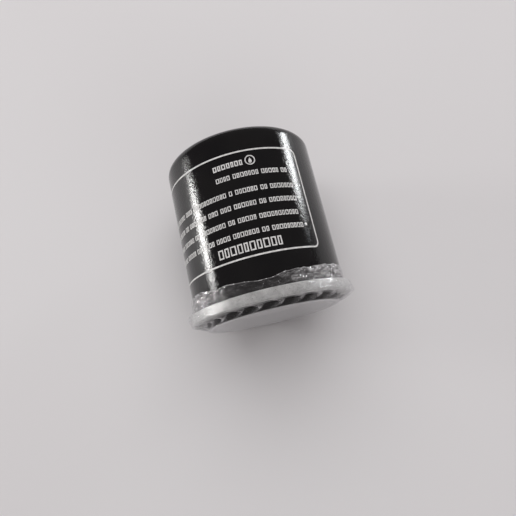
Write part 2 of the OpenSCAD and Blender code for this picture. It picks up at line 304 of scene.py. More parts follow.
def clear_film(name, haze, milk_and_glint):
    """Thin clear film: see-through face on, a mirror at a grazing angle, milky where it is crumpled, with
    painted white highlights along its creases and a few painted sparkles.

    haze is how much it veils what is behind it, and milk how much more it does where it is crumpled, which
    the mesh holds as a point attribute; milk also sets how bright the painted crease highlights and sparkles
    are.
    """
    made, tree, shader = new_material(name)
    crumple_and_glint = add(tree, "ShaderNodeAttribute", attribute_name=CRUMPLE_AND_GLINT).outputs["Fac"]
    cloud = ramp(tree, noise_of(tree, 0.8, 5, 0.65), 0.35, 0.7, 0.25, 1.0)
    cloudy = maths(tree, "MULTIPLY", cloud, crumple_and_glint)
    veil_and_glint = maths(tree, "MULTIPLY_ADD", cloudy, milk_and_glint, haze)
    # painted highlights: thin white crease lines where it is crumpled, and a few small painted sparkles
    # elsewhere
    wave = noise_of(tree, 0.75, 2, 0.5, (0.5, 1.4, 0.5))
    off_line = maths(tree, "ABSOLUTE", maths(tree, "SUBTRACT", wave, 0.5))
    line = ramp(tree, off_line, 0.008, 0.04, 1.0, 0.0)
    # painted highlight: the white crease lines, only where the film is crumpled
    creased = maths(tree, "MULTIPLY", line, crumple_and_glint)
    veil_and_glint = maths(tree, "MULTIPLY_ADD", creased, 3.6 * milk_and_glint, veil_and_glint)
    # painted sparkles: small white specks anywhere on the film
    painted_sparkle = ramp(tree, noise_of(tree, 1.5, 1, 0.5), 0.73, 0.78)
    veil_and_glint = maths(tree, "MULTIPLY_ADD", painted_sparkle, 2.5 * milk_and_glint, veil_and_glint)
    # how much of a mirror it is: little face on, nearly all at a grazing angle
    facing = add(tree, "ShaderNodeLayerWeight", {"Blend": 0.5}).outputs["Facing"]
    grazing = maths(tree, "POWER", facing, 7.0)
    face_on = maths(tree, "MULTIPLY_ADD", crumple_and_glint, 0.22, 0.028)
    mirror = maths(tree, "MULTIPLY_ADD", grazing, 0.92, face_on)
    shown = maths(tree, "ADD", mirror, veil_and_glint, clamp=True)
    tree.links.new(blend_colours(tree, cloud, (0.82, 0.825, 0.83), (0.94, 0.94, 0.95)),
                   shader.inputs["Base Color"])
    fine = noise_of(tree, 1.8, 4, 0.6, (0.6, 1.2, 0.6))
    creases = bump(tree, fine, 0.25, 0.7)
    tree.links.new(ramp(tree, fine, 0.3, 0.7, 0.12, 0.3), shader.inputs["Roughness"])
    tree.links.new(creases, shader.inputs["Normal"])
    shine = {"Color": (0.97, 0.97, 0.98, 1), "Roughness": 0.05, "Normal": creases}
    gloss = add(tree, "ShaderNodeBsdfGlossy", shine)
    body = add(tree, "ShaderNodeMixShader", {1: shader.outputs[0], 2: gloss.outputs[0]})
    tree.links.new(maths(tree, "DIVIDE", mirror, shown, clamp=True), body.inputs[0])
    clear = add(tree, "ShaderNodeBsdfTransparent", {"Color": (0.975, 0.975, 0.975, 1)})
    final = add(tree, "ShaderNodeMixShader", {0: shown, 1: clear.outputs[0], 2: body.outputs[0]})
    tree.links.new(final.outputs[0], tree.nodes["Material Output"].inputs["Surface"])
    return made


def paper_sheet():
    made, tree, shader = new_material("white_paper")
    wave = ramp(tree, noise_of(tree, 0.004, 2), 0.3, 0.7)
    tree.links.new(blend_colours(tree, wave, (0.70, 0.69, 0.695), (0.73, 0.725, 0.73)),
                   shader.inputs["Base Color"])
    shader.inputs["Roughness"].default_value = 0.6
    return made


PAINT = black_paint()
INK = print_ink()
ZINC = galvanised()
GASKET_RUBBER = rubber("gasket_rubber", (0.005, 0.005, 0.0055), (0.36, 0.55))
VALVE_RUBBER = rubber("valve_rubber", (0.022, 0.022, 0.024), (0.5, 0.7))
SEALANT = surface("seam_compound", (0.20, 0.27, 0.20), (0.30, 0.38, 0.30), (0.5, 0.7))
BARE_STEEL = surface("oiled_steel", (0.42, 0.41, 0.39), (0.60, 0.59, 0.57), (0.24, 0.42), 1.0, 0.4, 5, 0.008)
TINPLATE = surface("tinplate", (0.58, 0.55, 0.46), (0.74, 0.71, 0.62), (0.26, 0.42), 1.0, 0.5, 3, 0.008)
SPRING_STEEL = surface("spring_wire", (0.36, 0.36, 0.37), (0.52, 0.52, 0.53), (0.28, 0.45),
                       1.0, 0.6, 6, 0.006)
ADHESIVE = surface("cured_adhesive", (0.34, 0.085, 0.05), (0.50, 0.16, 0.10), (0.35, 0.6), 0, 0.6, 2, 0.03)
PAPER = filter_paper()
FILM = clear_film("shrink_film", 0.003, 0.16)
FILM_DISC = clear_film("shrink_film_disc", 0.2, 0.0)

NODE_FINISH = {
    "can_shell": PAINT, "seaming_lid": ZINC, "seam_sealant": SEALANT, "tapping_plate": BARE_STEEL,
    "sealing_gasket": GASKET_RUBBER, "drainback_valve": VALVE_RUBBER, "lower_end_cap": TINPLATE,
    "lower_potting": ADHESIVE, "pleated_media": PAPER, "media_clip": TINPLATE, "centre_tube": TINPLATE,
    "upper_potting": ADHESIVE, "upper_end_cap": TINPLATE, "bypass_poppet": BARE_STEEL,
    "bypass_seal": VALVE_RUBBER, "bypass_spring": SPRING_STEEL, "bypass_cage": TINPLATE,
    "element_spring": SPRING_STEEL, "film_sleeve": FILM, "film_disc": FILM_DISC,
}
BODIES = {node: body for body, nodes in frame["record"]["behaviour"]["bodies"].items() for node in nodes}

for node, finish in NODE_FINISH.items():
    NODES[node].data.materials.clear()
    NODES[node].data.materials.append(finish)


def stand_for(piece, node):
    """piece takes the CAD node's place, with its finish and body."""
    piece.data.materials.append(NODE_FINISH[node])
    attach(piece, BODIES[node])
    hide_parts(node)


# ------------------------------------------------------------ can and seam

WALL = 0.5
CAN_R = 26.0
EDGE_R = 3.6
PANEL_R = 14.5
PANEL_STEP = 2.0
PANEL_DEPTH = 0.8
SEAM_R = radius("seaming_lid")
SEAM_FOOT, SEAM_TOP = reach("seaming_lid")


def can_outline():
    """The drawn can, from the pressed panel in its closed end to the hook in the seam, and back inside."""
    flange = reach("can_shell")[1]
    hook_r = radius("can_shell")
    centre_r = CAN_R - EDGE_R
    soft = 0.9
    outside = [(0, PANEL_DEPTH), (PANEL_R - soft, PANEL_DEPTH)]
    outside += [(PANEL_R - 0.3, PANEL_DEPTH - 0.06), (PANEL_R + 0.3, PANEL_DEPTH - 0.3)]
    step_r = PANEL_R + PANEL_STEP
    outside += [(step_r - 0.6, 0.12), (step_r, 0.02), (step_r + soft, 0)]
    outside += bend(centre_r, EDGE_R, EDGE_R, -90, 0, 16)
    wall = [(CAN_R, a) for a in np.linspace(EDGE_R + 1, flange - WALL, 24)]
    hook = [(CAN_R + WALL, flange - WALL), (CAN_R + WALL, flange - 1.6), (hook_r, flange - 1.6)]
    hook += [(hook_r, flange - 0.2), (hook_r - 0.18, flange), (CAN_R - WALL, flange)]
    inside = bend(centre_r, EDGE_R, EDGE_R - WALL, 0, -90, 10)
    inside += [(step_r + 0.2, WALL), (PANEL_R + 0.2, PANEL_DEPTH + WALL), (0, PANEL_DEPTH + WALL)]
    return outside + wall + hook + inside


def lid_outline():
    """The rolled seam and the gasket's groove, with rounded bends in the sheet."""
    corner = 0.45
    groove_in, groove_out = 18.5, 22.7
    floor = SEAM_TOP - 2.9
    lip = floor + 1.5
    foot_in = SEAM_FOOT + WALL
    points = [(CAN_R + 0.02, foot_in + 1), (CAN_R + 0.02, SEAM_FOOT + 0.1), (CAN_R + 0.12, SEAM_FOOT)]
    points += bend(SEAM_R - corner, SEAM_FOOT + corner, corner, -90, 0)
    points += bend(SEAM_R - corner, SEAM_TOP - corner, corner, 0, 90)
    points += bend(groove_out + corner, SEAM_TOP - corner, corner, 90, 180)
    points += bend(groove_out - 0.2, floor + 0.2, 0.2, 0, -90, 4)
    points += bend(groove_in + 0.2, floor + 0.2, 0.2, -90, -180, 4)
    points += bend(groove_in - 0.25, lip - 0.25, 0.25, 0, 180, 6)
    points += [(groove_in - WALL, floor - WALL + 0.3), (groove_in - WALL + 0.3, floor - WALL)]
    points += [(groove_out + WALL, floor - WALL), (groove_out + WALL, SEAM_TOP - WALL)]
    points += [(CAN_R + 2 * WALL, SEAM_TOP - WALL), (CAN_R + 2 * WALL, foot_in)]
    points += [(CAN_R + WALL - 0.02, foot_in), (CAN_R + WALL - 0.02, foot_in + 1)]
    return points


def gasket_outline():
    low, high = reach("sealing_gasket")
    outer = radius("sealing_gasket")
    inner, soft = 18.6, 0.45
    points = [(inner, low), (outer, low)]
    points += bend(outer - soft, high - soft, soft, 0, 90)
    points += bend(inner + soft, high - soft, soft, 90, 180)
    return points


stand_for(round_piece("can", can_outline(), FINE), "can_shell")
stand_for(round_piece("seam_and_groove", lid_outline(), FINE, 60), "seaming_lid")
stand_for(round_piece("gasket", gasket_outline(), FINE, 60), "sealing_gasket")


# ------------------------------------------------------------- thread end

PLATE_STEPS = 288
PLATE_IN, PLATE_OUT = reach("tapping_plate")[1] - 3, reach("tapping_plate")[1]
COLLAR_FOOT = reach("tapping_plate")[0]
COLLAR_R = 12.0
PLATE_R = radius("tapping_plate")
# the plate's ring of inlet holes: a fan-shaped cell round each, between these two radii
CELL_IN, CELL_OUT = 12.45, 18.0
INLET_CIRCLE, INLET_R, INLETS = 15.2, 2.3, 8
PITCH = 1.5
MAJOR_R = 10.0
MINOR_R = MAJOR_R - 0.54127 * PITCH
EASED = 0.2


def holed_cell(outline, centre, size, near, far, ease):
    """Rows of (u, v, depth) from a cell's outline on its near side, through its hole, to the far side."""
    away = outline - centre
    turn = np.arctan2(away[:, 1], away[:, 0])
    spoke = np.stack([np.cos(turn), np.sin(turn)], 1)
    inward = math.copysign(ease, far - near)
    halfway = (outline + centre + spoke * (size + ease)) / 2
    brim, wall = centre + spoke * (size + ease), centre + spoke * size
    rows = [(outline, near), (halfway, near), (brim, near), (wall, near + inward)]
    rows += [(wall, far - inward), (brim, far), (halfway, far), (outline, far)]
    return np.stack([np.column_stack([uv, np.full(len(uv), depth)]) for uv, depth in rows])


def box_path(left, right, low, high, across, up):
    """A closed path round a rectangle, with equal steps along each side."""
    u, v = np.linspace(left, right, across + 1), np.linspace(low, high, up + 1)
    bottom = np.column_stack([u[:-1], np.full(across, low)])
    right_side = np.column_stack([np.full(up, right), v[:-1]])
    top = np.column_stack([u[:0:-1], np.full(across, high)])
    left_side = np.column_stack([np.full(up, left), v[:0:-1]])
    return np.concatenate([bottom, right_side, top, left_side])


def thread_radius(theta, a):
    """Bore radius of the right-hand thread, with a chamfer at each end."""
    along = np.mod(a / PITCH + theta / (2 * math.pi), 1) * PITCH
    crest, root = PITCH / 4, PITCH / 8
    flank = (PITCH - crest - root) / 2
    kinks = (0, crest, crest + flank, crest + flank + root, PITCH)
    r = np.interp(along, kinks, (MINOR_R, MINOR_R, MAJOR_R, MAJOR_R, MINOR_R))
    mouth_r = MINOR_R + 0.8
    ends = np.maximum(mouth_r - (a - COLLAR_FOOT), mouth_r - (PLATE_OUT - a))
    return np.maximum(r, ends)


def plate():
    """The plate: a hub with the threaded collar, a ring of holed cells and the outer flange."""
    theta = np.linspace(0, 2 * math.pi, PLATE_STEPS, endpoint=False)
    foot = [(CELL_IN, PLATE_IN), (COLLAR_R + 0.12, PLATE_IN), (COLLAR_R, PLATE_IN - 0.12)]
    foot += [(COLLAR_R, COLLAR_FOOT + 0.35), (COLLAR_R - 0.35, COLLAR_FOOT)]
    foot = np.array(foot)
    bore_a = np.linspace(COLLAR_FOOT, PLATE_OUT, 87)[:, None] + 0 * theta
    bore = polar(thread_radius(theta[None], bore_a), theta[None], bore_a)
    rows = [polar(foot[:, :1], theta[None], foot[:, 1:]), bore, polar(CELL_IN, theta, PLATE_OUT)[None]]
    hub = np.concatenate(rows)
    edge = [(CELL_OUT, PLATE_OUT), (PLATE_R - EASED, PLATE_OUT), (PLATE_R, PLATE_OUT - EASED)]
    edge += [(PLATE_R, PLATE_IN + EASED), (PLATE_R - EASED, PLATE_IN), (CELL_OUT, PLATE_IN)]
    edge = np.array(edge)
    flange = polar(edge[:, :1], theta[None], edge[:, 1:])
    shapes = []
    for grid in (hub, flange):
        shapes.append((grid.reshape(-1, 3), grid_faces(len(grid), PLATE_STEPS, False, True)))
    half = math.pi / INLETS
    fan = box_path(-half, half, CELL_IN, CELL_OUT, PLATE_STEPS // INLETS, 8)
    outline = np.column_stack([fan[:, 1] * np.sin(fan[:, 0]), fan[:, 1] * np.cos(fan[:, 0])])
    cell = holed_cell(outline, np.array([0, INLET_CIRCLE]), INLET_R, PLATE_OUT, PLATE_IN, EASED)
    r, turn = np.hypot(cell[..., 0], cell[..., 1]), np.arctan2(cell[..., 0], cell[..., 1])
    for k in range(INLETS):
        points = polar(r, turn + 2 * half * k, cell[..., 2])
        shapes.append((points.reshape(-1, 3), grid_faces(len(cell), len(outline), False, True)))
    stand_for(joined("plate_with_thread", shapes, 30), "tapping_plate")


def check_valve():
    """The rubber check valve over the inlets, with its lip."""
    low, high = reach("drainback_valve")
    lip = radius("drainback_valve")
    section = [(12.05, low), (12.9, low), (13.3, low + 0.2), (13.6, low + 0.55), (lip - 0.35, high - 1.15)]
    section += bend(lip - 0.35, high - 0.8, 0.35, -70, 0, 5) + bend(lip - 0.3, high - 0.3, 0.3, 0, 90, 4)
    section += [(18.65, high), (18.4, high - 0.2), (18.0, high - 0.65)]
    section += [(13.2, low + 1.75), (12.95, low + 1.95)]
    section += bend(12.85 - 0.2, high - 0.2, 0.2, 0, 90, 3) + [(12.05, high)]
    piece = round_piece("check_valve", section, FINE, 50)
    piece.data.materials.append(VALVE_RUBBER)
    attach(piece, "filter")
    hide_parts("drainback_valve")
    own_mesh(piece)


# ----------------------------------------------------------------- element

TUBE_R = 13.0
TUBE_HOLE = 1.6
TUBE_ROWS, TUBE_HOLES = 6, 8
TUBE_STEPS = 96
PLEATS = 36
PLEAT_ROOT_R = 13.3
FOLD_R = 0.48
HALF_PAPER = 0.25
CAP_SHEET = 0.4


def cap_outline(node, hole_r):
    """An end cap's section, with the bend of its rim rounded."""
    low, high = reach(node)
    face, end = (high, low) if node == "lower_end_cap" else (low, high)
    way = math.copysign(1, end - face)
    outer, inner = radius(node), radius(node) - CAP_SHEET
    points = [(hole_r, face + 0.1 * way), (hole_r + 0.1, face)]
    points += [(r, face + way * (0.7 - a)) for r, a in bend(outer - 0.7, 0, 0.7, 90, 0, 6)]
    points += [(outer, end - 0.1 * way), (outer - 0.1, end), (inner + 0.1, end), (inner, end - 0.1 * way)]
    points += [(r, face + way * (CAP_SHEET + 0.3 - a)) for r, a in bend(inner - 0.3, 0, 0.3, 0, 90, 4)]
    points += [(hole_r + 0.1, face + way * CAP_SHEET), (hole_r, face + way * (CAP_SHEET - 0.1))]
    return points


def tube():
    """The perforated centre tube, in rows of holed cells that are staggered by half a cell."""
    low, high = reach("centre_tube")
    pitch = (high - low) / TUBE_ROWS
    half = math.pi / TUBE_HOLES
    shapes = []
    for row in range(TUBE_ROWS):
        middle = low + (row + 0.5) * pitch
        arc = half * TUBE_R
        outline = box_path(-arc, arc, middle - pitch / 2, middle + pitch / 2, TUBE_STEPS // TUBE_HOLES, 8)
        cell = holed_cell(outline, np.array([0, middle]), TUBE_HOLE, TUBE_R, TUBE_R - CAP_SHEET, 0.08)
        for k in range(TUBE_HOLES):
            turn = math.pi / 2 + half * (2 * k + row % 2)
            points = polar(cell[..., 2], cell[..., 0] / TUBE_R + turn, cell[..., 1])
            shapes.append((points.reshape(-1, 3), grid_faces(len(cell), len(outline), False, True)))
    theta = np.linspace(0, 2 * math.pi, TUBE_STEPS, endpoint=False)
    for a in (low, high):
        rim = polar(np.array([[TUBE_R], [TUBE_R - CAP_SHEET]]), theta[None], a)
        shapes.append((rim.reshape(-1, 3), grid_faces(2, TUBE_STEPS, False, True)))
    stand_for(joined("perforated_tube", shapes, 40), "centre_tube")


def half_pleat(tip_r, root_r, size, steps=5):
    """Middle line of the paper from the crest of a pleat to its root, as (u across, v outward)."""
    lean = math.pi / PLEATS
    out = np.array([math.sin(lean), math.cos(lean)])
    side = np.array([math.cos(lean), -math.sin(lean)])
    turn = np.linspace(0, math.pi / 2, steps)[:, None]
    crest = np.array([0, tip_r - size]) + size * np.hstack([np.sin(turn), np.cos(turn)])
    root = (root_r + size) * out - size * np.cos(turn) * side - size * np.sin(turn) * out
    share = np.array([[0.25], [0.5], [0.75]])
    flank = crest[-1] + (root[0] - crest[-1]) * share
    return np.concatenate([crest, flank, root])


def pleats():
    """Folded paper with round crests and roots, slightly uneven along its length."""
    low, high = reach("pleated_media")
    half = half_pleat(radius("pleated_media") - HALF_PAPER, PLEAT_ROOT_R + HALF_PAPER, FOLD_R)
    r, turn = np.hypot(half[:, 0], half[:, 1]), np.arctan2(half[:, 0], half[:, 1])
    lean = 2 * math.pi / PLEATS
    r = np.tile(np.concatenate([r, r[-2:0:-1]]), PLEATS)
    turn = np.concatenate([np.concatenate([turn, lean - turn[-2:0:-1]]) + lean * k for k in range(PLEATS)])
    turn += math.pi / 2
    line = np.column_stack([r * np.sin(turn), r * np.cos(turn)])
    along = np.roll(line, -1, 0) - np.roll(line, 1, 0)
    along /= np.linalg.norm(along, axis=1, keepdims=True)
    outward = np.column_stack([-along[:, 1], along[:, 0]])
    rows = []
    for side in (1, -1):
        for a in np.linspace(low, high, 15)[::side]:
            middle = np.column_stack([line[:, 0], np.full(len(line), Y_CLOSED - a), line[:, 1]])
            sway = 0.15 * math.sin(math.pi * (a - low) / (high - low)) * noisy(middle, 7.0, 31)
            skin = line + outward * (side * HALF_PAPER + sway)[:, None]
            rows.append(np.column_stack([skin[:, 0], middle[:, 1], skin[:, 1]]))
    grid = np.stack(rows)
    faces = grid_faces(len(grid), len(line), True, True)
    stand_for(mesh_from("folded_paper", grid.reshape(-1, 3), faces, 50), "pleated_media")


def coil_path(start_r, end_r, low, high, turns, flat, steps=56):
    """Points along a helix, with some part of a turn lying flat at each end."""
    t = np.linspace(0, turns, int(turns * steps) + 1)
    share = np.clip((t - flat) / (turns - 2 * flat), 0, 1)
    r = start_r + (end_r - start_r) * share
    return polar(r, math.pi / 2 - 2 * math.pi * t, low + (high - low) * share)


def springs():
    """The element's conical spring, and the bypass valve's spring."""
    low, high = reach("element_spring")
    wire, wide, narrow = 0.8, 18.2, 11.6
    path = coil_path(wide, narrow, low + wire, high - wire, 3, 0.5)
    stand_for(swept("conical_spring", path, wire, 20), "element_spring")
    low, high = reach("bypass_spring")
    wire, coil = 0.4, 4
    piece = swept("valve_spring", coil_path(coil, coil, low + wire, high - wire, 5, 0.7), wire, 14)
    piece.data.materials.append(SPRING_STEEL)
    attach(piece, "filter")
    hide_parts("bypass_spring")
    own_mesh(piece)


def bypass():
    """The bypass valve's disc, stem and rivet head, and its rubber washer."""
    low, high = reach("bypass_poppet")
    seat_low, seat_high = reach("bypass_seal")
    back = seat_high + 0.8
    section = [(0, low), (2.5, low)] + bend(2.55, low + 0.25, 0.25, -90, 0, 4)
    section += [(2.8, seat_low), (1.8, seat_low), (1.8, seat_high), (6.3, seat_high), (6.5, seat_high + 0.2)]
    section += bend(6.1, back - 0.4, 0.4, 0, 90, 5)
    section += [(1.75, back), (1.5, back + 0.25), (1.5, high - 0.4), (1.1, high), (0, high)]
    stand_for(round_piece("bypass_disc", section, 192, 35), "bypass_poppet")
    washer = [(1.8, seat_low), (6.05, seat_low), (6.2, seat_low + 0.15)]
    washer += [(6.2, seat_high - 0.1), (6.1, seat_high), (1.8, seat_high)]
    stand_for(round_piece("bypass_washer", washer, 192, 35), "bypass_seal")


plate()
check_valve()
for cap, hole_r in (("lower_end_cap", 12.3), ("upper_end_cap", 4.6)):
    stand_for(round_piece(cap + "_stamped", cap_outline(cap, hole_r), 288, 35), cap)
tube()
pleats()
springs()
bypass()


# ------------------------------------------------------------------- print

INK_TOP = 0.03
INK_ROOT = -0.01


def ink_patch(outline):
    """A thin flat shape on the can, from its outline of (arc length in mm from theta 0, a)."""
    outline = np.array(outline, float)
    theta = outline[:, 0] / CAN_R
    low = polar(CAN_R + INK_ROOT, theta, outline[:, 1])
    high = polar(CAN_R + INK_TOP, theta, outline[:, 1])
    n = len(outline)
    sides = [[i, (i + 1) % n, n + (i + 1) % n, n + i] for i in range(n)]
    return np.concatenate([low, high]), [list(range(n))[::-1], list(range(n, 2 * n))] + sides


def ink_strip(one, two):
    """The four corners of a line of ink at each point, from its two edges in (arc length, a)."""
    section = [(one, INK_ROOT), (one, INK_TOP), (two, INK_TOP), (two, INK_ROOT)]
    return np.stack([polar(CAN_R + lift, edge[:, 0] / CAN_R, edge[:, 1]) for edge, lift in section], 1)


def ink_band(centre_line, width, closed=False):
    """A thin printed line along points of (arc length, a)."""
    line = np.array(centre_line, float)
    if closed:
        along = np.roll(line, -1, 0) - np.roll(line, 1, 0)
    else:
        along = np.gradient(line, axis=0)
    along /= np.linalg.norm(along, axis=1, keepdims=True)
    across = np.stack([-along[:, 1], along[:, 0]], 1) * width / 2
    points = ink_strip(line - across, line + across)
    faces = grid_faces(len(line), 4, closed, True)
    if not closed:
        last = 4 * (len(line) - 1)
        faces += [[3, 2, 1, 0], [last, last + 1, last + 2, last + 3]]
    return points.reshape(-1, 3), faces


def rounded_box(left, right, low, high, corner, step):
    """A closed path round a rectangle with round corners, with points about step apart."""
    path = []
    for cx, ca, start in ((right - corner, high - corner, 90), (right - corner, low + corner, 0),
                          (left + corner, low + corner, -90), (left + corner, high - corner, -180)):
        for t in np.radians(np.linspace(start, start - 90, 7)):
            path.append((cx + corner * math.cos(t), ca + corner * math.sin(t)))
    dense = []
    for one, two in zip(path, path[1:] + path[:1]):
        n = max(1, int(math.dist(one, two) / step))
        dense += [(one[0] + (two[0] - one[0]) * k / n, one[1] + (two[1] - one[1]) * k / n) for k in range(n)]
    return dense


def ink_box(left, right, low, high, stroke):
    """An empty printed box: a thin line round a rectangle, mitred at its corners."""
    outer = np.array([(left, low), (right, low), (right, high), (left, high)], float)
    inner = outer + stroke * np.array([(1, 1), (-1, 1), (-1, -1), (1, -1)])
    points = ink_strip(outer, inner)
    return points.reshape(-1, 3), grid_faces(4, 4, True, True)


def disc_of(x, a, size, sides=20):
    turn = np.linspace(0, 2 * math.pi, sides, endpoint=False)
    return [(x + size * math.cos(t), a + size * math.sin(t)) for t in turn]


def box_row(start, end, a, height, words, width, stroke):
    """Empty boxes standing for one row of print, from start towards end (both arc lengths).

    words holds how many boxes each word has, and width is a box's usual width.
    """
    shapes, at, sign = [], start, (1 if end > start else -1)
    for count in words:
        for k in range(count):
            far = at + sign * width * (0.8 + 0.4 * ((k * 7 + count * 3) % 5) / 4)
            if sign * (end - far) < 0:
                return shapes
            shapes.append(ink_box(min(at, far), max(at, far), a - height / 2, a + height / 2, stroke))
            at = far + sign * width * 0.3
        at += sign * width * 0.8
    return shapes


def arc_mm(degrees):
    return math.radians(degrees) * CAN_R


LABEL_LINE = 0.5
LABEL_LOW, LABEL_HIGH = 9.5, 43.4
ROWS = (
    # a, where it starts, where it ends, has a bullet, boxes in each word
    (36.1, 36.0, -86.0, True, (9, 2, 7, 4, 2, 4, 5, 6, 3, 8)),
    (31.7, 34.5, -86.0, False, (11, 5, 2, 8, 2, 6, 4, 9, 7)),
    (27.1, 36.0, -86.0, True, (8, 2, 6, 3, 3, 7, 2, 5, 4, 9)),
    (22.6, 36.0, -86.0, True, (7, 2, 6, 1, 11, 3, 6, 2, 8)),
    (17.3, 34.0, -18.5, False, (2, 5, 7, 6)),
)
SMALL = {"height": 1.55, "width": 0.92, "stroke": 0.27}
LARGE = {"height": 2.9, "width": 1.6, "stroke": 0.4}


def frame_line(left, right):
    return ink_band(rounded_box(left, right, LABEL_LOW, LABEL_HIGH, 2.0, 1.0), LABEL_LINE, True)


def front_print():
    """The panel in the photo: its frame, empty boxes for its rows of print, and an oil drop in a ring."""
    shapes = [frame_line(arc_mm(-100), arc_mm(46))]
    shapes += box_row(arc_mm(17), arc_mm(-28), 40.3, words=(10,), **LARGE)
    for a, start, end, bullet, words in ROWS:
        shapes += box_row(arc_mm(start), arc_mm(end), a, words=words, **SMALL)
        if bullet:
            shapes.append(ink_patch(disc_of(arc_mm(38.9), a - 0.3, 0.42)))
    badge_x, badge_a = arc_mm(8.6), 13.0
    shapes.append(ink_band(disc_of(badge_x, badge_a, 1.5, 40), 0.32, True))
    drop = [(badge_x + 0.72 * math.sin(t) * abs(math.sin(t / 2)) ** 1.2, badge_a + 0.1 - 0.95 * math.cos(t))
            for t in np.linspace(0, 2 * math.pi, 24, endpoint=False)]
    shapes.append(ink_patch(drop))
    shapes += box_row(arc_mm(3.0), arc_mm(-19.5), 13.3, 1.75, (7,), 1.1, 0.36)
    return shapes


def back_print():
    """A plain panel of the same empty boxes on the far side of the can."""
    left, right = arc_mm(108), arc_mm(212)
    shapes = [frame_line(left, right)]
    shapes += box_row(right - 12, left + 4, 39.6, words=(9,), **LARGE)
    for a, words in ((34.2, (6, 4, 8, 2, 7, 5, 6)), (29.6, (9, 3, 5, 7, 2, 6, 5)), (25.0, (4, 7, 3, 8, 6)),
                     (18.6, (7, 2, 5, 9, 4)), (14.0, (3, 8, 5, 6, 2, 4))):
        shapes += box_row(right - 3.2, left + 3, a, words=words, **SMALL)
    return shapes


for panel, shapes in (("print_front", front_print()), ("print_back", back_print())):
    ink = joined(panel, shapes)
    ink.data.materials.append(INK)
    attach(ink, BODIES["can_shell"])


# ------------------------------------------------------------- transit film

FILM_R = SEAM_R + 0.12
FILM_SHEET = 0.06
CRIMPS = 24
GASKET_R = radius("sealing_gasket")
DISC_A = reach("film_disc")[0]
DISC_R = radius("film_disc")
SKIRT_EDGE = SEAM_FOOT - 4.9
SHOULDER_STEPS = 26


def lobe(turn, at, width):
    """1 at an angle round the axis, and fading to nothing on either side of it (degrees)."""
    return np.exp(-((turn - math.radians(at)) / math.radians(width)) ** 2)


def film_rows():
    """The film's section from the skirt's edge to the shoulder: rows of (r, a, looseness)."""
    rows = [(CAN_R + 0.16, a, 1.0) for a in np.linspace(SKIRT_EDGE, SEAM_FOOT - 0.7, 26)]
    rows += [(r, a, 0.55) for r, a in bend(CAN_R + 0.8, SEAM_FOOT - 0.65, 0.6, 180, 90, 4)[1:]]
    rows += [(FILM_R - 0.35, SEAM_FOOT - 0.02, 0.4), (FILM_R - 0.05, SEAM_FOOT + 0.2, 0.3)]
    rows += [(FILM_R, a, 0.24) for a in np.linspace(SEAM_FOOT + 0.5, SEAM_TOP - 0.4, 9)]
    rows += [(r, a, 0.1) for r, a in bend(FILM_R - 0.42, SEAM_TOP - 0.35, 0.42, 10, 75, 4)]
    return np.array(rows)


def shoulder_rows(start_r, start_a, theta):
    """The shoulder drawn in over the gasket: pockets sucked in against it, with a ridge between each two.

    The pockets follow the gasket and then climb to the disc, and the ridges run straight from the
    seam to the disc's edge, so the black gasket shows through the pockets as ovals.
    """
    s = np.linspace(0.04, 1, SHOULDER_STEPS)[:, None]
    end_r, end_a = DISC_R + 0.12, DISC_A - 0.12
    ridge_r = start_r + (end_r - start_r) * s
    ridge_a = start_a + (end_a - start_a) * s + 0.28 * np.sin(math.pi * s)
    turn_at = 0.62
    flat = np.clip(s / turn_at, 0, 1)
    climb = np.clip((s - turn_at) / (1 - turn_at), 0, 1)
    pocket_r = start_r + (GASKET_R + 0.28 - start_r) * flat ** 0.9
    pocket_a = start_a + 0.1 + (end_a - start_a - 0.1) * climb ** 1.1
    uneven = noisy(polar(25.0, theta, 58.0), 3.2, 21)
    pitch = CRIMPS * theta + 0.5 * uneven
    ridge = (0.5 + 0.5 * np.cos(pitch)) ** 2.8
    ridge = np.clip(ridge * (0.9 + 0.4 * uneven), 0, 1)[None]
    lean = 0.5 * math.radians(360 / CRIMPS) * np.sin(math.pi * s)
    r = pocket_r + (ridge_r - pocket_r) * ridge
    a = pocket_a + (ridge_a - pocket_a) * ridge
    return r, a, ridge * np.sin(math.pi * np.minimum(s, 1)) ** 0.5, lean


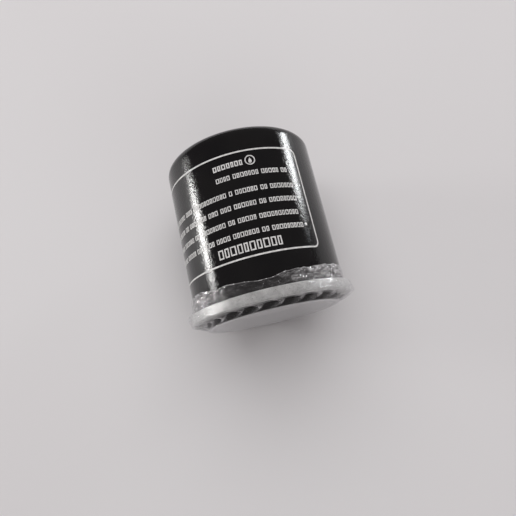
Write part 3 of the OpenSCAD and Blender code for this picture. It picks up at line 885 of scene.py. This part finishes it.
def film_surface():
    """The film's outer side as grids of theta, r, a and how crumpled it is, which also places its painted
    white highlights, from the skirt to the disc.
    """
    rows = film_rows()
    theta = np.linspace(0, 2 * math.pi, 720, endpoint=False)
    r = np.repeat(rows[:, :1], len(theta), 1)
    a = np.repeat(rows[:, 1:2], len(theta), 1)
    loose = rows[:, 2:3]
    turn = np.angle(np.exp(1j * theta))
    # bunched on both sides of the upper face and again further round, and tight along the top
    bunched = lobe(turn, 44, 22) + 0.75 * lobe(turn, -52, 17) + 0.6 * lobe(np.abs(turn), 128, 20)
    tight = lobe(turn, -3, 26)
    # the skirt's cut edge wanders, and its rows follow it
    rim = polar(CAN_R, theta, 50.0)
    edge = noisy(rim, 9.0, 3) * 0.9 + noisy(rim, 2.5, 4) * 0.35 - 2.0 * tight
    share = np.clip((SEAM_FOOT - 0.6 - a) / (SEAM_FOOT - SKIRT_EDGE), 0, 1)
    a = a - share * edge[None]
    base = polar(r, theta[None], a)
    drawn = np.array([0.5, 1.3, 0.5])
    folds = noisy(base * drawn, 2.3, 5, "creased") * 0.9 + noisy(base * drawn, 1.2, 6, "creased") * 0.45
    folds += noisy(base, 0.8, 7, "ridged") * 0.12
    # it lies flat where the filter rests on it
    free = np.clip((np.cos(theta) + 0.93) / 0.35, 0, 1)
    swell = (0.10 + 0.95 * bunched) * free
    r = r + loose * (0.08 + 0.95 * np.clip(folds - 0.1, 0, 1.3)) * swell[None]
    a = a + loose * 0.35 * noisy(base, 1.9, 8) * swell[None]
    # it stands off the seam on both sides, more towards the skirt on one and the shoulder on the other
    climb = np.clip((a - SEAM_FOOT + 2.5) / (SEAM_TOP - SEAM_FOOT + 2.0), 0, 1)
    left = 1.25 * lobe(turn, -84, 19) * np.sin(math.pi * np.clip(climb, 0.12, 0.9))
    right = lobe(turn, 84, 17) * climb ** 1.5
    r = r + (left + right)
    crumple_and_glint = (0.05 + loose * bunched[None]) * (0.2 + 0.8 * np.clip(folds, 0, 1))
    crumple_and_glint = np.clip(crumple_and_glint + 0.25 * bunched[None] * (loose < 0.5), 0, 1)
    # the cut edge's rows are set fully crumpled, a painted white highlight line along the edge
    crumple_and_glint[:2] = 1
    top_r, top_a, ridge, lean = shoulder_rows(r[-1:], a[-1:], theta)
    angles = np.concatenate([np.repeat(theta[None], len(r), 0), theta[None] + lean])
    # the folded edge on the disc
    ragged = 0.12 * noisy(polar(DISC_R, theta, 59.0), 2.0, 9)
    fold_r = np.linspace(DISC_R - 0.1, DISC_R - 1.5, 6)[:, None] + ragged
    fold_a = DISC_A + 0.24 + 0.03 * noisy(polar(fold_r, theta[None], 60.0), 1.2, 10)
    angles = np.concatenate([angles, np.repeat(theta[None], len(fold_r), 0)])
    r = np.concatenate([r, top_r, fold_r])
    a = np.concatenate([a, top_a, fold_a])
    crumple_and_glint = np.concatenate([crumple_and_glint, 0.55 * ridge, np.full(fold_r.shape, 0.25)])
    return angles, r, a, crumple_and_glint


def solid_sheet(name, points, sheet, crease=80):
    """A thin closed sheet whose outer side is a grid of points in millimetres, closed round the axis."""
    along = np.gradient(points, axis=0)
    around = np.roll(points, -1, 1) - np.roll(points, 1, 1)
    normal = np.cross(around, along)
    normal /= np.maximum(np.linalg.norm(normal, axis=2, keepdims=True), 1e-9)
    inner = points + normal * sheet
    # the sheet's thickness goes inwards, towards the filter
    if np.abs(inner[0, :, [0, 2]]).sum() > np.abs(points[0, :, [0, 2]]).sum():
        inner = points - normal * sheet
    both = np.concatenate([points, inner[::-1]])
    faces = grid_faces(len(both), points.shape[1], True, True)
    return mesh_from(name, both.reshape(-1, 3), faces, crease)


def film_sleeve():
    theta, r, a, crumple_and_glint = film_surface()
    piece = solid_sheet("film_wrap", polar(r, theta, a), FILM_SHEET)
    values = np.concatenate([crumple_and_glint, crumple_and_glint[::-1]]).ravel()
    if len(piece.data.vertices) != len(values):
        raise ValueError("the film's vertices no longer match its crumple values")
    piece.data.attributes.new(CRUMPLE_AND_GLINT, "FLOAT", "POINT").data.foreach_set("value", values.astype(np.float32))
    stand_for(piece, "film_sleeve")


def film_end():
    """The end disc: flat, with soft waves."""
    radii = np.linspace(0, DISC_R, 40)
    theta = np.linspace(0, 2 * math.pi, 180, endpoint=False)
    r = np.repeat(radii[:, None], len(theta), 1)
    flat = polar(r, theta[None], DISC_A + 0 * r)
    wave = noisy(flat, 9.0, 11) * 0.05 + noisy(flat, 3.0, 12) * 0.012
    a = DISC_A + wave * np.clip((DISC_R - r) / 6, 0, 1)
    top = polar(r, theta[None], a + 0.1)
    under = polar(r, theta[None], a)
    points = np.concatenate([top, under[::-1]])
    faces = grid_faces(len(points), len(theta), False, True)
    piece = mesh_from("film_end_disc", points.reshape(-1, 3), faces, 60)
    stand_for(piece, "film_disc")


film_sleeve()
film_end()


# -------------------------------------------------------------------- stage

def floor():
    """White paper, tangent to the can's rounded edge and to the film round the seam."""
    film_r = SEAM_R + 0.2
    near, far = SEAM_TOP - 1.4, EDGE_R
    tilt = math.asin((film_r - CAN_R) / (near - far))
    across = Vector((1, 0, 0))
    along = Vector((0, math.cos(tilt), math.sin(tilt)))
    rest = Vector((0, (Y_CLOSED - near) * MM, -film_r * MM))
    half = 4.0
    corners = [rest + across * x * half + along * y * half for x, y in ((-1, -1), (1, -1), (1, 1), (-1, 1))]
    mesh = bpy.data.meshes.new("paper_floor")
    mesh.from_pydata([c[:] for c in corners], [], [(0, 1, 2, 3)])
    piece = bpy.data.objects.new("paper_floor", mesh)
    bpy.context.scene.collection.objects.link(piece)
    piece.data.materials.append(paper_sheet())


def area_light(name, at, towards, size, watts, colour=(1, 1, 1), mirrored=True):
    data = bpy.data.lights.new(name, "AREA")
    data.shape = "RECTANGLE"
    data.size, data.size_y = size
    data.energy = watts
    data.color = colour
    light = bpy.data.objects.new(name, data)
    bpy.context.scene.collection.objects.link(light)
    light.location = at
    light.rotation_euler = (Vector(towards) - Vector(at)).to_track_quat("-Z", "Y").to_euler()
    light.visible_glossy = mirrored
    light.visible_camera = False


def lights():
    middle = (0, 0.03, 0)
    area_light("window_left", (-0.9, 0.32, 0.12), middle, (0.22, 0.09), 2.9, (1.0, 0.99, 0.97))
    area_light("window_right", (0.92, 0.47, 0.07), middle, (0.22, 0.08), 2.4, (0.97, 0.99, 1.0))
    area_light("ceiling", (0.05, 0.57, 0.9), middle, (1.5, 1.5), 12.8, (1.0, 0.985, 0.987), mirrored=False)
    area_light("thread_side", (0.1, -0.8, 0.4), middle, (1.2, 0.8), 2.2, (1.0, 0.96, 0.965), mirrored=False)
    world = bpy.data.worlds.new("room")
    bpy.context.scene.world = world
    world.use_nodes = True
    world.node_tree.nodes["Background"].inputs["Color"].default_value = (0.165, 0.15, 0.152, 1)


def camera():
    """The photograph's viewpoint: close to straight above, a little on the threaded side, and rolled."""
    eye = Vector((-0.0007, -0.0174, 0.1579))
    back_tilt = math.radians(13.8)
    roll = math.radians(-13.35)
    data = bpy.data.cameras.new("view")
    focal_over_width = 460 / 516
    data.sensor_width = 36.0
    data.lens = 36.0 * focal_over_width
    data.clip_start = 0.01
    cam = bpy.data.objects.new("view", data)
    bpy.context.scene.collection.objects.link(cam)
    turned = Matrix.Rotation(back_tilt, 4, "X") @ Matrix.Rotation(roll, 4, "Z")
    cam.matrix_world = Matrix.Translation(eye) @ turned
    bpy.context.scene.camera = cam


floor()
lights()
camera()
bpy.context.scene.view_settings.view_transform = "Standard"
